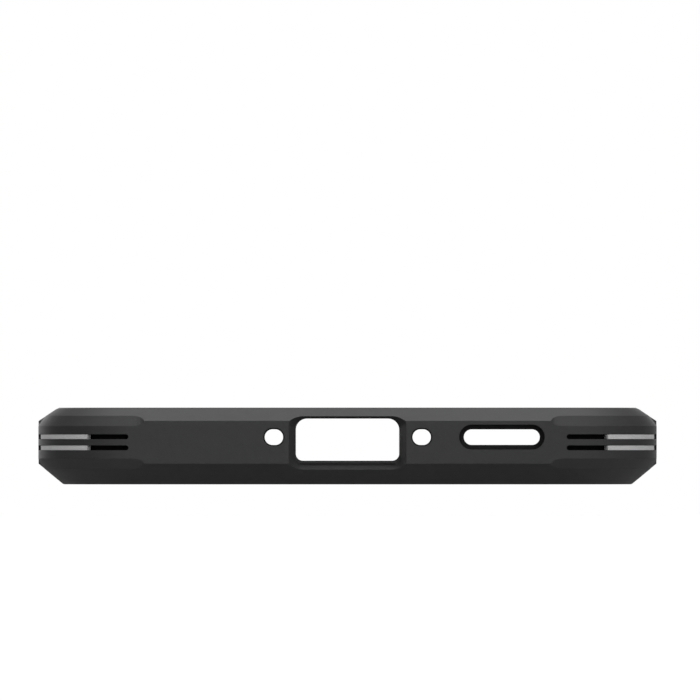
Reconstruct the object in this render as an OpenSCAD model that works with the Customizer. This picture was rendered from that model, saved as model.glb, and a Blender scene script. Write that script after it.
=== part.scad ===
// Rugged two-layer phone case: a hard bevelled frame and back over a soft sleeve, with a folding stand.
// The case lies on its back. The origin is on the back face at the middle of the case.
// +X points to the side with the keys, +Y to the phone's top end and +Z out of the screen.
// An inset is a distance in from the outermost side wall, measured square to it.

/* [Case] */
// Width across the long sides
case_w = 84; // [83:0.5:88]
// Length from the bottom end to the top end
case_l = 169.2; // [166:0.2:176]
// Thickness from the back face to the lip round the screen
case_h = 10.4; // [10.3:0.1:11.4]
// Radius of the four corners, seen from the back
corner_r = 12; // [11.6:0.1:13]

/* [Outer edges] */
// Height of the bevel beside the back face
back_bevel_h = 2.8; // [2.7:0.1:3]
// Width of the bevel beside the back face
back_bevel_w = 3.4; // [3.1:0.05:3.5]
// Height of the bevel beside the screen
screen_bevel_h = 1.8; // [1.7:0.1:1.9]
// Width of the bevel beside the screen
screen_bevel_w = 2.7; // [2.6:0.05:2.8]
// Height of the facet round each corner above and below a bevel's edge
facet_h = 0.7; // [0.5:0.05:0.8]
// How far a facet runs on past its corner at full depth
facet_run = 0.8; // [0.4:0.1:2]
// Length over which a facet then fades to a point
facet_fade = 1.65; // [0.8:0.05:2.5]

/* [Walls] */
// Thickness of the hard frame at the sides
frame_t = 1.9; // [1.85:0.05:2]
// Thickness of the soft sleeve at the sides
sleeve_t = 1.55; // [1.5:0.05:1.7]
// Thickness of the hard back
back_t = 1.2; // [1.15:0.05:1.25]
// Thickness of the soft floor under the phone
floor_t = 1.2; // [1.15:0.05:1.25]
// Thickness of the phone that the case is cut for
phone_t = 7; // [6.9:0.05:7.1]
// How far the soft lip reaches in over the screen's edge
lip_w = 1.1; // [0.8:0.1:1.5]

/* [Ports] */
// Width of the charging port
usb_w = 14; // [12:0.1:15]
// Height of the charging port
usb_h = 5.7; // [5.2:0.1:5.8]
// Height of the charging port's centre above the back face
usb_z = 6.06; // [6:0.02:6.1]
// Height of the sound ports' centres above the back face
port_z = 6.4; // [6:0.1:6.6]
// Width of a microphone port
mic_w = 2.5; // [2.2:0.1:3]
// Height of a microphone port
mic_h = 2.13; // [1.8:0.01:2.2]
// Width of the loudspeaker slot
speaker_w = 10.3; // [8:0.1:11]
// Height of the loudspeaker slot
speaker_h = 2.1; // [2:0.02:2.4]

/* [Corner slots] */
// Height of one corner slot
slot_h = 0.67; // [0.6:0.01:0.75]
// Distance between the two slots of a corner
slot_pitch = 1.5; // [1.46:0.02:1.8]
// Angle round the corner from the end face to the start of an inlay bar
bar_from = 26; // [20:1:35]
// Angle round the corner from the end face to the end of an inlay bar
bar_to = 76; // [60:1:80]

/* [Keys] */
// Height of a key's opening
key_h = 3.4; // [3:0.1:3.6]
// How far a key is pressed in
key_travel = 0.4; // [0.2:0.05:0.4]

/* [Camera] */
// Width of the camera window
camera_w = 28; // [20:1:29]
// Length of the camera window
camera_l = 34; // [24:1:36]

/* [Stand] */
// Length of the stand from its hinge to its free end
stand_l = 45; // [35:1:50]
// Width of the stand
stand_w = 24; // [18:1:28]
// Thickness of the stand
stand_t = 1.3; // [1.2:0.05:1.3]
// Diameter of the stand's hinge pin
pin_d = 0.8; // [0.7:0.05:0.85]

/* [Hidden] */
$fn = 64;
eps = 0.01;
over = 1;

// Heights of the side profile
face_top = case_h - screen_bevel_h;
face_mid = (back_bevel_h + face_top) / 2;
floor_top = back_t + floor_t;
phone_top = floor_top + phone_t;

// The frame and the sleeve
layer_gap = 0.05;
edge_h = 0.2;
back_edge_h = 0.08;
back_edge_w = 0.12;
seam_in = screen_bevel_w + 0.15;
sleeve_top = phone_top - 0.2;
phone_in = frame_t + layer_gap + sleeve_t;
lip_in = phone_in + lip_w;
lip_bevel = 0.4;
floor_in = 11;
bevel_len = norm([back_bevel_w, back_bevel_h]);
// How far the facets' cutter runs on past a facet's edges, as a share of the facet
facet_over = 0.6;
// Steps in which a facet narrows to its point, as shares of the fade
fade_steps = [0, 0.4, 0.7, 0.9];

// The back plate's ledge lies on the frame's flange, inside the case
ledge_z = 0.7;
flange_in = 7;
rebate_in = 5.8;
plate_gap = 0.1;

// Port places along the ends
bottom_mics = [-9.97, 10.05];
top_mics = [11.1, 18.7];
speaker_x = 20.9;
usb_r = 1.5;
usb_low_r = 0.95;
usb_share = 0.8;
mic_rim = 0.18;
speaker_rim = 0.64;
// The plug's well: the port widens outwards through the frame, most of all towards the back
well_in = [0.05, 0.5, 0.1];
well_out = [0.95, 1.9, 0.52];
well_r = 1.4;

// Corner pockets and inlays
slot_in = frame_t + over / 2;
pocket_h = 3.4;
pocket_t = 0.9;
pocket_margin = 0.5;
web_margin = 7;
inlay_gap = 0.03;
bar_recess = 0.02;

// Keys: place of the centre along the case, and length of the opening
volume_up = [36, 12];
volume_down = [21.5, 12];
power = [0, 14];
key_r = 0.8;
key_gap = 0.25;
key_recess = 0.2;
key_scoop = 0.7;
flange_margin = 0.5;
flange_t = 0.35;
cap_stop = 1.2;
cap_play = 0.05;
stop_margin = [0.8, 0.6];
pad_len_margin = 1;
pad_h_margin = 0.5;
pad_end = 3.2;
pad_gap = 0.3;

// Camera window and its guard
camera_at = [18, 56];
camera_r = 8;
guard_w = 1.8;
guard_lip_w = 2.8;
guard_lip_t = 0.7;
guard_gap = 0.1;
guard_flare = 0.6;

// Stand
stand_at = [21, -38];
stand_back = 0.1;
stand_taper = 1.5;
stand_r = 3.5;
stand_gap = 0.25;
stand_clear = 0.1;
knuckle_clear = 0.15;
knuckle_r = 0.85;
pivot_z = stand_back + knuckle_r;
pin_clear = 0.03;
pin_hold = 2;
lug_w = 3.2;
tub_top = 2;
tub_end = 8;
notch_r = 6;
notch_depth = 0.9;
groove_w = 0.8;
groove_depth = 0.2;
grooves = 4;
groove_pitch = 2.2;
groove_from = 6;
groove_l = 12;

// Foam under the phone
foam_w = 66;
foam_y = [-74, 31];
foam_r = 6;
foam_gap = 0.1;

// Air pockets in the sleeve's inner corners
scallops = 5;
scallop_r = 0.55;
scallop_step = 16;

hard_black = [0.09, 0.09, 0.095];
soft_black = [0.05, 0.05, 0.055];
inlay_grey = [0.58, 0.58, 0.58];
dark_metal = [0.2, 0.2, 0.21];
steel = [0.7, 0.71, 0.72];
foam_grey = [0.16, 0.16, 0.17];

// Inset of the back bevel, or of a surface a thickness behind it, at a height
function back_bevel(z, behind = 0) =
    back_bevel_w * (1 - z / back_bevel_h) + behind * bevel_len / back_bevel_h;
// Height at which a surface behind the back bevel has reached an inset
function back_bevel_z(inset, behind) =
    back_bevel_h * (1 + (behind * bevel_len / back_bevel_h - inset) / back_bevel_w);
// Inset of the screen bevel at a height
function screen_bevel(z) = screen_bevel_w * (z - face_top) / screen_bevel_h;

// Rounded rectangle, centred, with true arcs
module rounded(w, l, r) {
    square([w - 2 * r, l], center = true);
    square([w, l - 2 * r], center = true);
    for (x = [-1, 1], y = [-1, 1])
        translate([x * (w / 2 - r), y * (l / 2 - r)]) circle(r);
}

// The case's outline, drawn in by an inset
module outline(inset) {
    rounded(case_w - 2 * inset, case_l - 2 * inset, corner_r - inset);
}

// Puts its children at each corner, turned and mirrored so that +X and +Y point out of the case
module each_corner() {
    for (x = [0, 1], y = [0, 1])
        mirror([x, 0, 0]) mirror([0, y, 0])
            translate([case_w / 2 - corner_r, case_l / 2 - corner_r, 0]) children();
}

// Sweeps a profile of [inset, height] points all round the case
module swept(profile) {
    side_l = case_l - 2 * corner_r;
    end_l = case_w - 2 * corner_r;
    for (turn = [0, 180]) rotate([0, 0, turn]) {
        translate([case_w / 2, side_l / 2, 0]) rotate([90, 0, 0])
            linear_extrude(side_l) polygon([for (p = profile) [-p[0], p[1]]]);
        translate([-end_l / 2, case_l / 2, 0]) rotate([90, 0, 90])
            linear_extrude(end_l) polygon([for (p = profile) [-p[0], p[1]]]);
    }
    each_corner() rotate_extrude(angle = 90)
        polygon([for (p = profile) [corner_r - p[0], p[1]]]);
}

// Extrudes a 2D child, drawn as [along, height], through an end wall from the outermost face inwards
module through_end(side, from_in, to_in) {
    translate([0, side * (case_l / 2 - (side > 0 ? from_in : to_in)), 0]) rotate([90, 0, 0])
        linear_extrude(to_in - from_in) children();
}

// Extrudes a 2D child, drawn as [along, height], through the side wall with the keys
module through_side(from_in, to_in) {
    translate([case_w / 2 - to_in, 0, 0]) rotate([90, 0, 90])
        linear_extrude(to_in - from_in) children();
}

// Port outline with round ends, centred
module stadium(w, h) {
    square([w - h, h], center = true);
    for (x = [-1, 1]) translate([x * (w - h) / 2, 0]) circle(d = h);
}

// All sound ports, each larger by a rim, through both end walls
module sound_ports(mic_extra, speaker_extra, from_in, to_in) {
    for (x = bottom_mics)
        through_end(-1, from_in, to_in)
            translate([x, port_z]) stadium(mic_w + 2 * mic_extra, mic_h + 2 * mic_extra);
    for (x = top_mics)
        through_end(1, from_in, to_in)
            translate([x, port_z]) stadium(mic_w + 2 * mic_extra, mic_h + 2 * mic_extra);
    through_end(-1, from_in, to_in)
        translate([speaker_x, port_z]) stadium(speaker_w + 2 * speaker_extra, speaker_h + 2 * speaker_extra);
}

// Outline of the charging port widened by [sides, back, screen]. r rounds the corners towards the screen,
// low_r those towards the back
module port_outline(grow, r = usb_r, low_r = usb_low_r) {
    w = usb_w + 2 * grow[0];
    low = usb_z - usb_h / 2 - grow[1];
    high = usb_z + usb_h / 2 + grow[2];
    h = (high - low) * usb_share;
    translate([0, high - h / 2]) rounded(w, h, r);
    translate([0, low + h / 2]) rounded(w, h, low_r);
}

// The well round the charging port, a funnel through the frame
module plug_well() {
    hull() {
        through_end(-1, frame_t, frame_t + eps) port_outline(well_in);
        through_end(-1, -eps, 0) port_outline(well_out, well_r, usb_low_r + well_out[0]);
    }
    through_end(-1, frame_t, frame_t + over) port_outline(well_in);
}

// Cutter that takes the edge off a bevel round one corner: an arc, then a straight run that fades to a point.
// edge_z is the height of the bevel's sharp edge, rise is how far the facet goes up or down the bevel from it,
// and bevel_in is the bevel's inset there
module corner_facet(edge_z, rise, bevel_in) {
    face_z = edge_z - rise;
    bevel_p = [bevel_in, edge_z + rise];
    lean = bevel_p - [0, face_z];
    near = [0, face_z] - facet_over * lean;
    far = bevel_p + facet_over * lean;
    outside = [-over, far[1]];
    rotate_extrude(angle = 90)
        polygon([for (p = [near, far, outside]) [corner_r - p[0], p[1]]]);
    for (swap = [0, 1])
        mirror(swap * [1, -1, 0]) facet_end([near, far, outside], edge_z);
}

// The straight end of a corner facet, along -X from the corner's centre on the end face
module facet_end(cut, edge_z) {
    // Each ring is [distance along the run, share of the full cut]
    rings = concat([[0, 1]], [for (t = fade_steps) [facet_run + facet_fade * t, sqrt(1 - t * t)]]);
    points = concat(
        [for (ring = rings, p = cut)
            [-ring[0], corner_r - p[0] * ring[1], edge_z + (p[1] - edge_z) * ring[1]]],
        [[-facet_run - facet_fade, corner_r, edge_z]]
    );
    last = len(rings) - 1;
    tip = 3 * len(rings);
    sides = [for (k = [0:last - 1], i = [0:2]) let (j = (i + 1) % 3)
        [3 * k + i, 3 * k + i + 3, 3 * k + j + 3, 3 * k + j]];
    tips = [for (i = [0:2]) let (j = (i + 1) % 3) [3 * last + i, tip, 3 * last + j]];
    up = edge_z > face_mid;
    faces = concat([[0, 1, 2]], sides, tips);
    polyhedron(points, up ? faces : [for (f = faces) [for (k = [len(f) - 1:-1:0]) f[k]]]);
}

// Ring sector round a corner's centre, between two angles from the end face
module corner_sector(from, to, outer_in, inner_in, low, high) {
    rotate([0, 0, 90 - to]) rotate_extrude(angle = to - from)
        translate([corner_r - inner_in, low]) square([inner_in - outer_in, high - low]);
}

// The two heights at which a corner's slots lie
slot_zs = [face_mid - slot_pitch / 2, face_mid + slot_pitch / 2];

// Two slots right round a corner, with round ends
module corner_slots() {
    for (z = slot_zs) {
        corner_sector(0, 90, -over, slot_in, z - slot_h / 2, z + slot_h / 2);
        translate([0, corner_r + over, z]) rotate([90, 0, 0]) cylinder(d = slot_h, h = slot_in + over);
        translate([corner_r + over, 0, z]) rotate([0, -90, 0]) cylinder(d = slot_h, h = slot_in + over);
    }
}

// The wider hollow behind the slots, for an inlay's web
module corner_pocket() {
    corner_sector(bar_from + web_margin - pocket_margin, bar_to - web_margin + pocket_margin,
        frame_t - pocket_t, slot_in,
        face_mid - pocket_h / 2, face_mid + pocket_h / 2);
}

// One light bar for each slot of a corner, on a web that sits in the pocket behind
module corner_inlay() {
    for (z = slot_zs)
        corner_sector(bar_from, bar_to, bar_recess, frame_t - pocket_t + 2 * inlay_gap,
            z - slot_h / 2 + inlay_gap, z + slot_h / 2 - inlay_gap);
    corner_sector(bar_from + web_margin, bar_to - web_margin,
        frame_t - pocket_t + inlay_gap, frame_t - inlay_gap,
        face_mid - pocket_h / 2 + inlay_gap, face_mid + pocket_h / 2 - inlay_gap);
}

// Places a 2D child at a key's centre, in the side wall's own [along, height]
module at_key(key) {
    translate([key[0], face_mid]) children();
}

// Everything cut out of the frame for one key: the scooped mouth, the opening and the stop for its flange
module key_opening(key) {
    hull() {
        through_side(key_scoop, key_scoop + eps) at_key(key) rounded(key[1], key_h, key_r);
        through_side(-eps, 0) at_key(key)
            rounded(key[1] + 2 * key_scoop, key_h + 2 * key_scoop, key_r + key_scoop);
    }
    through_side(0, frame_t + over) at_key(key) rounded(key[1], key_h, key_r);
    through_side(cap_stop, frame_t + over) at_key(key)
        rounded(key[1] + 2 * stop_margin[0], key_h + 2 * stop_margin[1], key_r);
}

module key_cap(key) {
    through_side(key_recess, cap_stop + cap_play + eps) at_key(key)
        rounded(key[1] - 2 * key_gap, key_h - 2 * key_gap, key_r - key_gap);
    through_side(cap_stop + cap_play, cap_stop + cap_play + flange_t) at_key(key)
        rounded(key[1] + 2 * flange_margin, key_h + flange_margin, key_r);
}

module key_pad(key) {
    through_side(cap_stop + cap_play + flange_t, pad_end) at_key(key)
        rounded(key[1] - 2 * pad_len_margin, key_h - 2 * pad_h_margin, key_r);
}

// Everything cut out of the sleeve for one key: room for the flange to travel, and a way in for the pad
module key_pad_opening(key) {
    through_side(frame_t, cap_stop + cap_play + flange_t + key_travel + pad_gap) at_key(key)
        rounded(key[1] + 2 * stop_margin[0], key_h + 2 * stop_margin[1], key_r);
    through_side(frame_t, phone_in + over) at_key(key)
        rounded(key[1] - 2 * pad_len_margin + 2 * pad_gap, key_h - 2 * pad_h_margin + 2 * pad_gap,
            key_r + pad_gap);
}

module outer_frame() {
    color(hard_black) difference() {
        swept([
            [flange_in, 0], [back_bevel_w + back_edge_w, 0], [back_bevel(back_edge_h), back_edge_h],
            [0, back_bevel_h], [0, face_top],
            [screen_bevel(case_h - edge_h), case_h - edge_h], [seam_in, case_h],
            [seam_in, sleeve_top], [frame_t, sleeve_top],
            [frame_t, back_bevel_z(frame_t, back_t)], [back_bevel(back_t, back_t), back_t],
            [rebate_in, back_t], [rebate_in, ledge_z], [flange_in, ledge_z]
        ]);
        each_corner() {
            corner_facet(face_top, facet_h, screen_bevel(face_top + facet_h));
            corner_facet(back_bevel_h, -facet_h, back_bevel(back_bevel_h - facet_h));
            corner_slots();
            corner_pocket();
        }
        plug_well();
        sound_ports(mic_rim, speaker_rim, -over, frame_t + over / 2);
        for (key = [volume_up, volume_down, power]) key_opening(key);
    }
}

module inner_sleeve() {
    behind = back_t + layer_gap;
    wall_in = frame_t + layer_gap;
    color(soft_black) difference() {
        union() {
            swept([
                [floor_in, back_t], [back_bevel(back_t, behind), back_t],
                [wall_in, back_bevel_z(wall_in, behind)], [wall_in, sleeve_top - layer_gap],
                [seam_in + layer_gap, sleeve_top - layer_gap], [seam_in + layer_gap, case_h],
                [lip_in - lip_bevel, case_h], [lip_in, case_h - lip_bevel], [lip_in, phone_top],
                [phone_in, phone_top], [phone_in, floor_top], [floor_in, floor_top]
            ]);
            translate([0, 0, back_t]) linear_extrude(floor_t) outline(floor_in - eps);
        }
        through_end(-1, frame_t, phone_in + over) port_outline([0, 0, 0]);
        sound_ports(0, 0, frame_t, phone_in + over);
        for (key = [volume_up, volume_down, power]) key_pad_opening(key);
        each_corner() for (i = [0:scallops - 1])
            rotate([0, 0, 45 + (i - (scallops - 1) / 2) * scallop_step])
                translate([corner_r - phone_in, 0, floor_top])
                    cylinder(r = scallop_r, h = phone_t);
        translate([0, 0, back_t - over]) linear_extrude(floor_t + 2 * over)
            camera_outline(guard_lip_w + guard_gap);
        translate([0, 0, back_t - over]) linear_extrude(floor_t + 2 * over)
            tub_outline(plate_gap);
        translate([0, 0, tub_top]) linear_extrude(floor_top - tub_top + over)
            foam_outline(foam_gap);
    }
}

module camera_outline(grow) {
    translate(camera_at) rounded(camera_w + 2 * grow, camera_l + 2 * grow, camera_r + grow);
}

module foam_outline(grow) {
    translate([0, (foam_y[0] + foam_y[1]) / 2])
        rounded(foam_w + 2 * grow, foam_y[1] - foam_y[0] + 2 * grow, foam_r);
}

// The stand's outline, its hinge along the right edge
module stand_outline(grow) {
    half = stand_w / 2 + grow;
    tip = half - stand_taper;
    end_x = stand_at[0] - stand_l - grow;
    translate([0, stand_at[1]]) {
        polygon([
            [stand_at[0], -half], [stand_at[0], half],
            [end_x + stand_r, tip], [end_x + stand_r, -tip]
        ]);
        translate([end_x, -tip + stand_r]) square([2 * stand_r, 2 * (tip - stand_r)]);
        for (y = [-1, 1]) translate([end_x + stand_r, y * (tip - stand_r)]) circle(stand_r);
    }
}

// Outline of the block on the back plate that holds the stand
module tub_outline(grow) {
    x_low = stand_at[0] - stand_l - tub_end;
    x_high = stand_at[0] + lug_w;
    half = stand_w / 2 + stand_gap + lug_w;
    translate([x_low - grow, stand_at[1] - half - grow])
        square([x_high - x_low + 2 * grow, 2 * (half + grow)]);
}

// Outline of the higher part of that block, over the hinge
module hinge_outline(grow) {
    half = stand_w / 2 + stand_gap + lug_w;
    translate([stand_at[0] - lug_w - grow, stand_at[1] - half - grow])
        square([2 * (lug_w + grow), 2 * (half + grow)]);
}

// A rod on the stand's hinge line, centred on the stand
module hinge_rod(r, l) {
    translate([stand_at[0], stand_at[1] + l / 2, pivot_z]) rotate([90, 0, 0]) cylinder(r = r, h = l);
}

module back_plate() {
    color(hard_black) difference() {
        union() {
            linear_extrude(back_t) outline(flange_in + plate_gap);
            translate([0, 0, ledge_z]) linear_extrude(back_t - ledge_z) outline(rebate_in + plate_gap);
            linear_extrude(tub_top) tub_outline(0);
            linear_extrude(floor_top) hinge_outline(0);
        }
        translate([0, 0, -over]) linear_extrude(floor_top + 2 * over) camera_outline(guard_w + guard_gap);
        translate([0, 0, -over]) linear_extrude(over + stand_back + stand_t + stand_clear)
            stand_outline(stand_gap);
        hinge_rod(knuckle_r + knuckle_clear, stand_w + 2 * stand_gap);
        translate([stand_at[0] - knuckle_r, stand_at[1] - stand_w / 2 - stand_gap, -over])
            cube([2 * knuckle_r + stand_gap, stand_w + 2 * stand_gap, over + pivot_z]);
        hinge_rod(pin_d / 2, stand_w + 2 * (stand_gap + pin_hold));
        translate([stand_at[0] - stand_l, stand_at[1], -over]) cylinder(r = notch_r, h = notch_depth + over);
    }
}

module camera_guard() {
    color(dark_metal) difference() {
        union() {
            linear_extrude(back_t + eps) camera_outline(guard_w);
            translate([0, 0, back_t]) linear_extrude(guard_lip_t) camera_outline(guard_lip_w);
        }
        translate([0, 0, -over]) linear_extrude(floor_top + 2 * over) camera_outline(0);
        hull() {
            translate([0, 0, -eps]) linear_extrude(eps) camera_outline(guard_flare);
            translate([0, 0, guard_flare]) linear_extrude(eps) camera_outline(0);
        }
    }
}

module impact_foam() {
    color(foam_grey) translate([0, 0, tub_top]) linear_extrude(floor_top - tub_top) difference() {
        foam_outline(0);
        hinge_outline(foam_gap);
    }
}

module kickstand() {
    color(dark_metal) difference() {
        union() {
            translate([0, 0, stand_back]) linear_extrude(stand_t) stand_outline(0);
            hinge_rod(knuckle_r, stand_w);
        }
        hinge_rod(pin_d / 2 + pin_clear, stand_w + 2 * over);
        for (i = [0:grooves - 1])
            translate([stand_at[0] - stand_l + groove_from + i * groove_pitch, stand_at[1], -over])
                translate([0, -groove_l / 2, 0]) cube([groove_w, groove_l, over + stand_back + groove_depth]);
    }
}

module kickstand_pin() {
    color(steel) hinge_rod(pin_d / 2, stand_w + 2 * (stand_gap + pin_hold));
}

module volume_up_cap() { color(hard_black) key_cap(volume_up); }
module volume_up_pad() { color(soft_black) key_pad(volume_up); }
module volume_down_cap() { color(hard_black) key_cap(volume_down); }
module volume_down_pad() { color(soft_black) key_pad(volume_down); }
module power_cap() { color(hard_black) key_cap(power); }
module power_pad() { color(soft_black) key_pad(power); }

// The inlay of the corner that lies to one side, -1 or 1, along X and along Y
module placed_inlay(x, y) {
    color(inlay_grey) mirror([x < 0 ? 1 : 0, 0, 0]) mirror([0, y < 0 ? 1 : 0, 0])
        translate([case_w / 2 - corner_r, case_l / 2 - corner_r, 0]) corner_inlay();
}

module corner_inlay_top_right() { placed_inlay(1, 1); }
module corner_inlay_top_left() { placed_inlay(-1, 1); }
module corner_inlay_bottom_right() { placed_inlay(1, -1); }
module corner_inlay_bottom_left() { placed_inlay(-1, -1); }

outer_frame();
inner_sleeve();
back_plate();
camera_guard();
impact_foam();
kickstand();
kickstand_pin();
volume_up_cap();
volume_up_pad();
volume_down_cap();
volume_down_pad();
power_cap();
power_pad();
corner_inlay_top_right();
corner_inlay_top_left();
corner_inlay_bottom_right();
corner_inlay_bottom_left();
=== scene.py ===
import math

import bmesh
import bpy
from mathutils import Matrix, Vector


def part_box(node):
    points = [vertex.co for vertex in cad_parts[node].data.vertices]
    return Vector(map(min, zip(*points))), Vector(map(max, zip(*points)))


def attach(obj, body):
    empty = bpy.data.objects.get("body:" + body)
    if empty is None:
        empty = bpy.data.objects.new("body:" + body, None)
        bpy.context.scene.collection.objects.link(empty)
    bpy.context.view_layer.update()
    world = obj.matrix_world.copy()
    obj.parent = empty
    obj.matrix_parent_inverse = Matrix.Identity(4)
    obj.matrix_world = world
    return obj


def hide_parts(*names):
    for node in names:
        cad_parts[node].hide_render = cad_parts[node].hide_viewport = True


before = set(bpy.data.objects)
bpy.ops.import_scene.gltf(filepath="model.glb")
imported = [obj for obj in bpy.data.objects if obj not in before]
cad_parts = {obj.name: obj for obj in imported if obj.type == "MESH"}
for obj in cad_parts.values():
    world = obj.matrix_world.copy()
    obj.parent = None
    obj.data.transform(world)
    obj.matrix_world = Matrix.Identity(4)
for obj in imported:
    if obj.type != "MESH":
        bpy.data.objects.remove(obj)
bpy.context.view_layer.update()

MM = 0.001
SCENE = bpy.context.scene

# The case's own places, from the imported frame
CASE_LOW, CASE_HIGH = (Vector(corner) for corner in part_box("outer_frame"))
FOAM_LOW, FOAM_HIGH = (Vector(corner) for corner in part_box("impact_foam"))
CASE_H = CASE_HIGH.z - CASE_LOW.z
CORNER_R = 12 * MM
CORNER = Vector((CASE_HIGH.x - CORNER_R, CASE_HIGH.y - CORNER_R))
FRAME_T = 1.9 * MM


# ---- Shader maths ----

class Value:
    """A number that varies over a surface. Arithmetic on it adds Math nodes."""

    def __init__(self, graph, socket):
        self.graph = graph
        self.socket = socket

    def __add__(self, other):
        return self.graph.maths("ADD", self, other)

    def __radd__(self, other):
        return self.graph.maths("ADD", other, self)

    def __sub__(self, other):
        return self.graph.maths("SUBTRACT", self, other)

    def __rsub__(self, other):
        return self.graph.maths("SUBTRACT", other, self)

    def __mul__(self, other):
        return self.graph.maths("MULTIPLY", self, other)

    def __rmul__(self, other):
        return self.graph.maths("MULTIPLY", other, self)

    def __truediv__(self, other):
        return self.graph.maths("DIVIDE", self, other)

    def __pow__(self, other):
        return self.graph.maths("POWER", self, other)

    def largest(self, other):
        return self.graph.maths("MAXIMUM", self, other)

    def smallest(self, other):
        return self.graph.maths("MINIMUM", self, other)

    def size(self):
        return self.graph.maths("ABSOLUTE", self)

    def wrapped(self):
        return self.graph.maths("FRACT", self)

    def step(self, low, high):
        """0 below low, 1 above high and smooth between."""
        ranged = self.graph.node(
            "ShaderNodeMapRange",
            {"interpolation_type": "SMOOTHSTEP"},
            {"Value": self, "From Min": low, "From Max": high},
        )
        return self.graph.value(ranged, "Result")


class Graph:
    """The nodes of one material or world."""

    def __init__(self, tree):
        self.tree = tree
        tree.nodes.clear()

    def node(self, kind, settings=None, sockets=None):
        made = self.tree.nodes.new(kind)
        for name, setting in (settings or {}).items():
            setattr(made, name, setting)
        for name, value in (sockets or {}).items():
            self.feed(made.inputs[name], value)
        return made

    def feed(self, socket, value):
        if isinstance(value, Value):
            self.tree.links.new(value.socket, socket)
        elif isinstance(value, bpy.types.NodeSocket):
            self.tree.links.new(value, socket)
        elif socket.type == "RGBA":
            socket.default_value = (*value, 1)
        else:
            socket.default_value = value

    def value(self, node, output):
        return Value(self, node.outputs[output])

    def maths(self, operation, a, b=0.0):
        made = self.node("ShaderNodeMath", {"operation": operation}, {0: a, 1: b})
        return Value(self, made.outputs[0])

    def place(self):
        """Where a point lies on the case, in metres."""
        return self.node("ShaderNodeTexCoord").outputs["Object"]

    def scaled(self, place, scale):
        made = self.node("ShaderNodeMapping", {}, {"Vector": place, "Scale": scale})
        return made.outputs["Vector"]

    def noise(self, place, scale, detail=2.0, roughness=0.5):
        made = self.node(
            "ShaderNodeTexNoise",
            {},
            {"Vector": place, "Scale": scale, "Detail": detail, "Roughness": roughness},
        )
        return self.value(made, "Fac")

    def parts(self, vector):
        made = self.node("ShaderNodeSeparateXYZ", {}, {"Vector": vector})
        return [Value(self, made.outputs[i]) for i in range(3)]

    def hexes(self, place, pitch):
        """0 at the middle of each hexagon of a level honeycomb, 0.5 along the lines between them."""
        x, y, z = self.parts(self.scaled(place, (1 / pitch, 1 / pitch, 1)))
        tall = math.sqrt(3)

        def from_centre(shift):
            across = ((x + shift).wrapped() - 0.5).size()
            along = (((y / tall + shift).wrapped() - 0.5) * tall).size()
            return across.largest(across * 0.5 + along * tall / 2)

        return from_centre(0.0).smallest(from_centre(0.5))

    def blend(self, factor, low, high):
        """Colour low where factor is 0, colour high where it is 1."""
        made = self.node("ShaderNodeMix", {"data_type": "RGBA"}, {0: factor, 6: low, 7: high})
        return made.outputs[2]

    def bump(self, height, distance, strength=1.0, normal=None):
        sockets = {"Height": height, "Distance": distance, "Strength": strength}
        if normal is not None:
            sockets["Normal"] = normal
        return self.node("ShaderNodeBump", {}, sockets).outputs["Normal"]

    def rounded_normal(self, radius):
        return self.node("ShaderNodeBevel", {"samples": 6}, {"Radius": radius}).outputs["Normal"]

    def edge(self, radius, low, high):
        """1 along sharp edges, out to about a radius, and 0 on open faces."""
        rounded = self.rounded_normal(radius)
        true = self.node("ShaderNodeNewGeometry").outputs["Normal"]
        dot = self.node("ShaderNodeVectorMath", {"operation": "DOT_PRODUCT"}, {0: rounded, 1: true})
        return (1 - self.value(dot, "Value")).step(low, high)

    def surface(self, **sockets):
        named = {name.replace("_", " "): value for name, value in sockets.items()}
        self.finish(self.node("ShaderNodeBsdfPrincipled", {}, named).outputs[0])

    def finish(self, shader):
        self.node("ShaderNodeOutputMaterial", {}, {"Surface": shader})


# ---- Materials ----

def material(name):
    made = bpy.data.materials.new(name)
    made.use_nodes = True
    return made, Graph(made.node_tree)


def moulded_plastic(name, dark, light, grain, depth, rough):
    """Matt moulded plastic: a fine even grain, faint drifts of tone, and edges polished by handling, painted
    lighter as wear and as a highlight.
    """
    made, g = material(name)
    place = g.place()
    fine = g.noise(place, grain, 3)
    coarse = g.noise(place, 700, 4, 0.6)
    drift = g.noise(place, 42, 3)
    # painted highlight and wear: sharp edges are painted lighter in patches and made smoother, partly as
    # handling wear and partly as a highlight along the edge
    edge_wear_and_highlight = g.edge(0.16 * MM, 0.02, 0.25) * coarse.step(0.3, 0.6)
    tone = drift * 0.5 + coarse * 0.35 + fine * 0.15
    g.surface(
        Base_Color=g.blend(edge_wear_and_highlight * 0.3, g.blend(tone.step(0.3, 0.7), dark, light), (0.1, 0.1, 0.102)),
        Roughness=rough + (drift - 0.5) * 0.12 + (coarse - 0.5) * 0.1 - edge_wear_and_highlight * 0.12,
        Normal=g.bump(fine * 0.6 + coarse * 0.4, depth, 0.5, g.rounded_normal(0.07 * MM)),
    )
    return made


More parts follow.
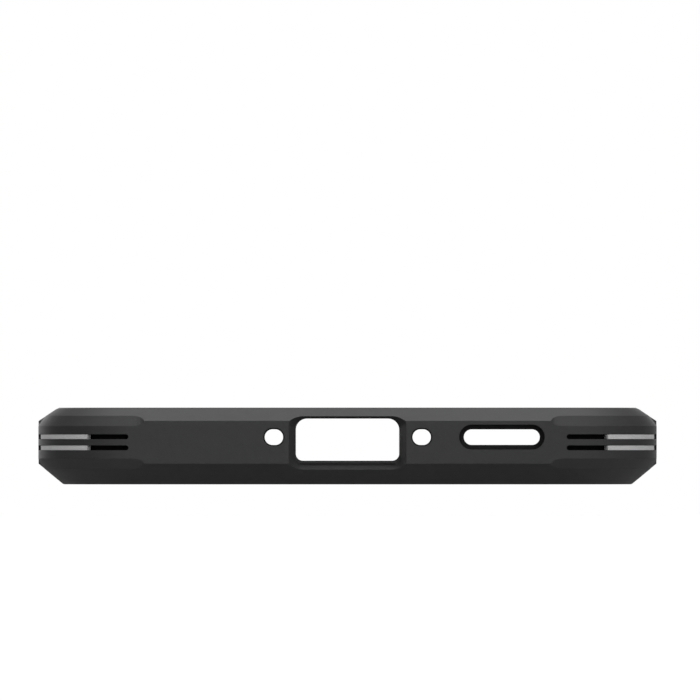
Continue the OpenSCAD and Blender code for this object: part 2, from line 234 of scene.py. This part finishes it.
def soft_rubber():
    """Soft polyurethane: satin, with flow marks and a raised web on the floor. Outer walls that
    the frame hides are rough and painted near black as shade in the corner slots and sound ports."""
    made, g = material("soft_rubber")
    web_pitch, web_depth = 4.6 * MM, 0.1 * MM
    floor_top = 3 * MM
    wall_r = CORNER_R - FRAME_T
    wall_y = CASE_HIGH.y - FRAME_T
    port_half = 8.5 * MM
    place = g.place()
    x, y, z = g.parts(place)
    fine = g.noise(place, 4200, 2)
    flow = g.noise(g.scaled(place, (1, 0.22, 1)), 55, 4, 0.6)
    web = g.hexes(place, web_pitch).step(0.42, 0.48)
    upward = g.parts(g.node("ShaderNodeNewGeometry").outputs["Normal"])[2]
    raised = web * upward.step(0.9, 0.99) * (1 - z.step(floor_top, floor_top + 1 * MM))
    tone = flow * 0.7 + fine * 0.3
    out_x = (x.size() - CORNER.x).largest(0)
    out_y = (y.size() - CORNER.y).largest(0)
    from_corner = (out_x * out_x + out_y * out_y) ** 0.5
    beyond_sides = x.size().step(CORNER.x - 1 * MM, CORNER.x - 0.5 * MM)
    in_corner = from_corner.step(wall_r - 0.8 * MM, wall_r - 0.5 * MM) * beyond_sides
    beside_port = x.size().step(port_half, port_half + 0.5 * MM)
    end_wall = y.size().step(wall_y - 0.4 * MM, wall_y - 0.2 * MM) * beside_port
    # painted shade: the sleeve's outer walls seen in the corner slots and beside the end ports are painted
    # near black (three quarters of the way on the end wall) for the shade deep in these recesses, and made
    # fully rough
    painted_slot_shade = in_corner.largest(end_wall * 0.75)
    skin = g.blend(tone.step(0.3, 0.7), (0.021, 0.021, 0.022), (0.03, 0.03, 0.032))
    g.surface(
        Base_Color=g.blend(painted_slot_shade, skin, (0.004, 0.004, 0.004)),
        Roughness=(0.47 + flow * 0.16 - raised * 0.1).largest(painted_slot_shade),
        Normal=g.bump(raised, web_depth, 1.0, g.bump(fine, 0.012 * MM, 0.5, g.rounded_normal(0.1 * MM))),
    )
    return made


def satin_coat(name, dark, light, rough):
    """A thin hard coat over plastic, with fine lines along the case from its polishing."""
    made, g = material(name)
    place = g.place()
    lines = g.noise(g.scaled(place, (1, 0.04, 1)), 5200, 3, 0.6)
    drift = g.noise(place, 60, 3)
    # painted highlight and wear: sharp edges are painted lighter and made more metallic, partly as wear of
    # the coat and partly as a highlight along the edge
    edge_wear_and_highlight = g.edge(0.2 * MM, 0.02, 0.25)
    tone = lines * 0.55 + drift * 0.45
    g.surface(
        Base_Color=g.blend(edge_wear_and_highlight * 0.4, g.blend(tone.step(0.3, 0.7), dark, light), (0.16, 0.16, 0.165)),
        Roughness=rough + (lines - 0.5) * 0.14 + (drift - 0.5) * 0.08,
        Metallic=0.2 + edge_wear_and_highlight * 0.25,
        Coat_Weight=0.25,
        Normal=g.bump(lines, 0.006 * MM, 0.5, g.rounded_normal(0.1 * MM)),
    )
    return made


def ground_steel():
    made, g = material("ground_steel")
    place = g.place()
    rings = g.noise(g.scaled(place, (0.1, 1, 0.1)), 6000, 2)
    g.surface(
        Base_Color=g.blend(rings.step(0.2, 0.8), (0.5, 0.51, 0.52), (0.68, 0.69, 0.7)),
        Roughness=0.24 + rings * 0.18,
        Metallic=1.0,
        Normal=g.bump(rings, 0.005 * MM, 0.5),
    )
    return made


def light_inlay():
    """Light grey plastic, darker along its sharp edges by the slots."""
    made, g = material("light_inlay")
    place = g.place()
    fine = g.noise(place, 5000, 2)
    drift = g.noise(place, 260, 3)
    tone = drift * 0.6 + fine * 0.4
    rim = g.edge(0.12 * MM, 0.02, 0.3)
    clean = g.blend(tone.step(0.3, 0.7), (0.84, 0.84, 0.84), (0.92, 0.92, 0.92))
    g.surface(
        Base_Color=g.blend(rim * 0.4, clean, (0.65, 0.65, 0.65)),
        Roughness=0.42 + drift * 0.14,
        Normal=g.bump(fine, 0.008 * MM, 0.4),
    )
    return made


def cell_foam():
    """Closed-cell foam: a skin of tiny open pits, paler towards the tops of its raised squares."""
    made, g = material("cell_foam")
    place = g.place()
    pits = g.node("ShaderNodeTexVoronoi", {"feature": "SMOOTH_F1"}, {"Vector": place, "Scale": 2600})
    pit = g.value(pits, "Distance").step(0.1, 0.7)
    drift = g.noise(place, 90, 3)
    crown = g.parts(place)[2].step(FOAM_HIGH.z - 0.12 * MM, FOAM_HIGH.z)
    tone = drift * 0.35 + pit * 0.3 + crown * 0.35
    g.surface(
        Base_Color=g.blend(tone, (0.035, 0.035, 0.037), (0.075, 0.075, 0.079)),
        Roughness=0.82 + drift * 0.12,
        Normal=g.bump(pit, 0.05 * MM, 0.7),
    )
    return made


def paint(nodes, made):
    for name in nodes:
        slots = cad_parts[name].data.materials
        slots.clear()
        slots.append(made)


KEYS = ("volume_up", "volume_down", "power")

shell_plastic = moulded_plastic(
    "matt_shell", (0.046, 0.046, 0.047), (0.057, 0.057, 0.058), grain=4600, depth=0.03 * MM, rough=0.48)
panel_plastic = moulded_plastic(
    "fine_panel", (0.042, 0.042, 0.043), (0.054, 0.054, 0.056), grain=3000, depth=0.06 * MM, rough=0.52)
key_plastic = moulded_plastic(
    "key_plastic", (0.044, 0.044, 0.045), (0.054, 0.054, 0.055), grain=5200, depth=0.01 * MM, rough=0.4)
guard_coat = satin_coat("guard_coat", (0.035, 0.035, 0.037), (0.05, 0.05, 0.053), 0.32)
stand_coat = satin_coat("stand_coat", (0.055, 0.055, 0.058), (0.075, 0.075, 0.079), 0.38)
rubber = soft_rubber()
foam = cell_foam()

paint(["outer_frame"], shell_plastic)
paint(["back_plate"], panel_plastic)
paint([f"{key}_cap" for key in KEYS], key_plastic)
paint(["camera_guard"], guard_coat)
paint(["kickstand"], stand_coat)
paint(["kickstand_pin"], ground_steel())
paint(["inner_sleeve"] + [f"{key}_pad" for key in KEYS], rubber)
paint([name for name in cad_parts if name.startswith("corner_inlay")], light_inlay())


# ---- Pieces finer than the CAD holds ----

def new_piece(name, mesh, made, body):
    mesh.materials.append(made)
    piece = bpy.data.objects.new(name, mesh)
    SCENE.collection.objects.link(piece)
    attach(piece, body)
    return piece


def mesh_of(name, build):
    mesh = bpy.data.meshes.new(name)
    bm = bmesh.new()
    build(bm)
    bmesh.ops.recalc_face_normals(bm, faces=bm.faces)
    bm.to_mesh(mesh)
    bm.free()
    mesh.shade_smooth()
    return mesh


def grid_lines(low, high, pitch, fine, keep):
    """Lines across the foam, fine of them to each embossed square, the nearest moved onto each kept one."""
    squares = round((high - low) / pitch)
    lines = [low + (high - low) * i / (squares * fine) for i in range(squares * fine + 1)]
    for wanted in keep:
        nearest = min(range(len(lines)), key=lambda i: abs(lines[i] - wanted))
        lines[nearest] = wanted
    return lines


def foam_pad():
    """The foam under the phone, in small crowned squares, with a slot round the stand's hinge block."""
    pitch, fine = 3 * MM, 5
    corner = 6 * MM
    groove, edge_drop = 0.17 * MM, 0.12 * MM
    block_half, past_pin = 3.3 * MM, 1.3 * MM
    pin_low, pin_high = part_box("kickstand_pin")
    block_x = (pin_low[0] + pin_high[0]) / 2
    slot_low = Vector((block_x - block_half, pin_low[1] - past_pin))
    slot_high = Vector((block_x + block_half, pin_high[1] + past_pin))
    xs = grid_lines(FOAM_LOW.x, FOAM_HIGH.x, pitch, fine, (slot_low.x, slot_high.x))
    ys = grid_lines(FOAM_LOW.y, FOAM_HIGH.y, pitch, fine, (slot_low.y, slot_high.y))

    def in_slot(x, y):
        return slot_low.x < x < slot_high.x and slot_low.y < y < slot_high.y

    def drawn_in(x, y):
        """A point moved inside the pad's rounded corners."""
        centre = Vector((
            min(max(x, FOAM_LOW.x + corner), FOAM_HIGH.x - corner),
            min(max(y, FOAM_LOW.y + corner), FOAM_HIGH.y - corner),
        ))
        out = Vector((x, y)) - centre
        most = max(abs(out.x), abs(out.y))
        return centre + out * (most / out.length) if most > 0 else centre

    def crown(i):
        """1 on top of an embossed square, 0 in the groove beside it."""
        across = abs(2 * ((i % fine) / fine) - 1)
        return 1 - across ** 4

    def build(bm):
        top, bottom = {}, {}
        last_x, last_y = len(xs) - 1, len(ys) - 1
        for i, x in enumerate(xs):
            for j, y in enumerate(ys):
                spot = drawn_in(x, y)
                height = FOAM_HIGH.z - groove * (1 - crown(i) * crown(j))
                if i in (0, last_x) or j in (0, last_y):
                    height -= edge_drop - groove * 0.5
                top[i, j] = bm.verts.new((spot.x, spot.y, height))
                bottom[i, j] = bm.verts.new((spot.x, spot.y, FOAM_LOW.z))
        kept = {
            (i, j)
            for i in range(last_x)
            for j in range(last_y)
            if not in_slot((xs[i] + xs[i + 1]) / 2, (ys[j] + ys[j + 1]) / 2)
        }
        for i, j in kept:
            ring = [(i, j), (i + 1, j), (i + 1, j + 1), (i, j + 1)]
            bm.faces.new([top[k] for k in ring])
            bm.faces.new([bottom[k] for k in reversed(ring)])
            for k, (di, dj) in enumerate(((0, -1), (1, 0), (0, 1), (-1, 0))):
                if (i + di, j + dj) not in kept:
                    a, b = ring[k], ring[(k + 1) % 4]
                    bm.faces.new([top[b], top[a], bottom[a], bottom[b]])
        bmesh.ops.delete(bm, geom=[v for v in bm.verts if not v.link_faces], context="VERTS")

    piece = new_piece("foam_pad", mesh_of("foam_pad", build), foam, "shell")
    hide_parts("impact_foam")


def key_ribs(key, count, offset, pitch):
    """Fine upright ribs that a finger finds on a key's cap, each a half-round bar with round ends."""
    low, high = (Vector(corner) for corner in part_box(f"{key}_cap"))
    middle_y = (low.y + high.y) / 2 + offset
    middle_z = (low.z + high.z) / 2
    radius, straight, rise, sink = 0.2 * MM, 0.75 * MM, 0.11 * MM, 0.05 * MM
    around, levels = 24, 5
    steps = [math.pi / 2 * k / levels for k in range(levels)]
    rings = [(1.0, -sink)] + [(math.cos(step), rise * math.sin(step)) for step in steps]

    def build(bm):
        for rib in range(count):
            y = middle_y + (rib - (count - 1) / 2) * pitch
            made = []
            for share, height in rings:
                ring = []
                for k in range(around):
                    turn = 2 * math.pi * (k + 0.5) / around
                    up = math.copysign(straight, math.sin(turn)) + radius * share * math.sin(turn)
                    along = radius * share * math.cos(turn)
                    ring.append(bm.verts.new((high.x + height, y + along, middle_z + up)))
                made.append(ring)
            for lower, upper in zip(made, made[1:]):
                for k in range(around):
                    n = (k + 1) % around
                    bm.faces.new([lower[k], lower[n], upper[n], upper[k]])
            bm.faces.new(made[0][::-1])
            bm.faces.new(made[-1])

    new_piece(f"{key}_ribs", mesh_of(f"{key}_ribs", build), key_plastic, f"{key}_key")


rib_pitch, rib_offset = 0.9 * MM, 3.6 * MM
foam_pad()
key_ribs("power", 7, 0, rib_pitch)
key_ribs("volume_up", 3, rib_offset, rib_pitch)
key_ribs("volume_down", 3, -rib_offset, rib_pitch)


# ---- Stage, light and camera ----

def flat_sheet(name, corners):
    mesh = bpy.data.meshes.new(name)
    mesh.from_pydata(corners, [], [range(len(corners))])
    made = bpy.data.objects.new(name, mesh)
    SCENE.collection.objects.link(made)
    return made


def studio_floor():
    """A pale floor, low enough for the opened stand. It lights the case as a darker cloth would,
    and from below it is clear, so that the back can be looked at."""
    reach, drop = 12, 40.5 * MM
    sides = ((-1, -1), (1, -1), (1, 1), (-1, 1))
    floor = flat_sheet("studio_floor", [(x * reach, y * reach, -drop) for x, y in sides])
    made, g = material("pale_floor")
    seen = g.value(g.node("ShaderNodeLightPath"), "Is Camera Ray")
    pale = g.node("ShaderNodeBsdfDiffuse", {}, {"Color": (0.5, 0.5, 0.5)}).outputs[0]
    lift = g.node("ShaderNodeEmission", {}, {"Color": (1, 1, 1), "Strength": 0.72}).outputs[0]
    lifted = g.node("ShaderNodeAddShader", {}, {0: pale, 1: lift}).outputs[0]
    dull = g.node("ShaderNodeBsdfDiffuse", {}, {"Color": (0.41, 0.41, 0.41)}).outputs[0]
    upper = g.node("ShaderNodeMixShader", {}, {0: seen, 1: dull, 2: lifted}).outputs[0]
    under = g.value(g.node("ShaderNodeNewGeometry"), "Backfacing")
    clear = g.node("ShaderNodeBsdfTransparent").outputs[0]
    g.finish(g.node("ShaderNodeMixShader", {}, {0: under, 1: upper, 2: clear}).outputs[0])
    floor.data.materials.append(made)


def opening_card(name, end):
    """A one-sided white card just inside an end wall, so that the ports show white behind them."""
    walls, over_foam, under_lip = 3.52 * MM, 0.05 * MM, 1.1 * MM
    y = end * (CASE_HIGH.y - walls)
    half = CORNER.x
    low, high = FOAM_HIGH.z + over_foam, CASE_H - under_lip
    corners = [(-half, y, low), (half, y, low), (half, y, high), (-half, y, high)]
    card = flat_sheet(name, corners if end < 0 else corners[::-1])
    made, g = material(name)
    path = g.node("ShaderNodeLightPath")
    geometry = g.node("ShaderNodeNewGeometry")
    shown = g.value(path, "Is Camera Ray") * (1 - g.value(geometry, "Backfacing"))
    clear = g.node("ShaderNodeBsdfTransparent").outputs[0]
    white = g.node("ShaderNodeEmission", {}, {"Color": (1, 1, 1), "Strength": 1.0}).outputs[0]
    g.finish(g.node("ShaderNodeMixShader", {}, {0: shown, 1: clear, 2: white}).outputs[0])
    card.data.materials.append(made)


def studio_light():
    """A dim room with a broad glow above, one behind the case and smaller ones in front and to the right."""
    world = bpy.data.worlds.new("studio")
    SCENE.world = world
    world.use_nodes = True
    g = Graph(world.node_tree)
    x, y, z = g.parts(g.node("ShaderNodeTexCoord").outputs["Generated"])

    def glow(towards, tightness):
        """1 in a direction, and falling away from it."""
        return (x * towards[0] + y * towards[1] + z * towards[2]).largest(0) ** tightness

    above = glow((0, 0.2, 0.98), 9) * (2.65 - x.size() * 2)
    front = glow((0.1, -0.92, 0.38), 12) * 1.7
    side = glow((0.8, -0.6, 0), 6) * 0.5
    behind = y.step(0.45, 1.0) * (1 - z.size().step(0.1, 0.6)) * (1.3 - x * 1.3).largest(0)
    dim = 0.075
    seen = g.value(g.node("ShaderNodeLightPath"), "Is Camera Ray")
    level = seen + (1 - seen) * (dim + above + front + side + behind)
    shade = g.node("ShaderNodeBackground", {}, {"Color": (1, 1, 1), "Strength": level})
    g.node("ShaderNodeOutputWorld", {}, {"Surface": shade.outputs[0]})


def main_camera():
    """Level with the case, looking from far off at its bottom end, which lies low in the view."""
    lens, sensor = 1200, 36
    frame_width = 94.74 * MM
    aside, above_case = 0.338 * MM, 12.993 * MM
    near = -CASE_HIGH.y
    place = Vector((aside, near - lens / sensor * frame_width, CASE_H / 2))
    aim = Vector((place.x, near, place.z + above_case))
    data = bpy.data.cameras.new("camera")
    data.lens = lens
    data.sensor_width = sensor
    data.clip_end = 40
    camera = bpy.data.objects.new("camera", data)
    SCENE.collection.objects.link(camera)
    camera.location = place
    camera.rotation_mode = "QUATERNION"
    camera.rotation_quaternion = (aim - place).to_track_quat("-Z", "Y")
    SCENE.camera = camera


main_camera()
studio_light()
studio_floor()
opening_card("white_behind_bottom", -1)
opening_card("white_behind_top", 1)
SCENE.view_settings.view_transform = "Standard"
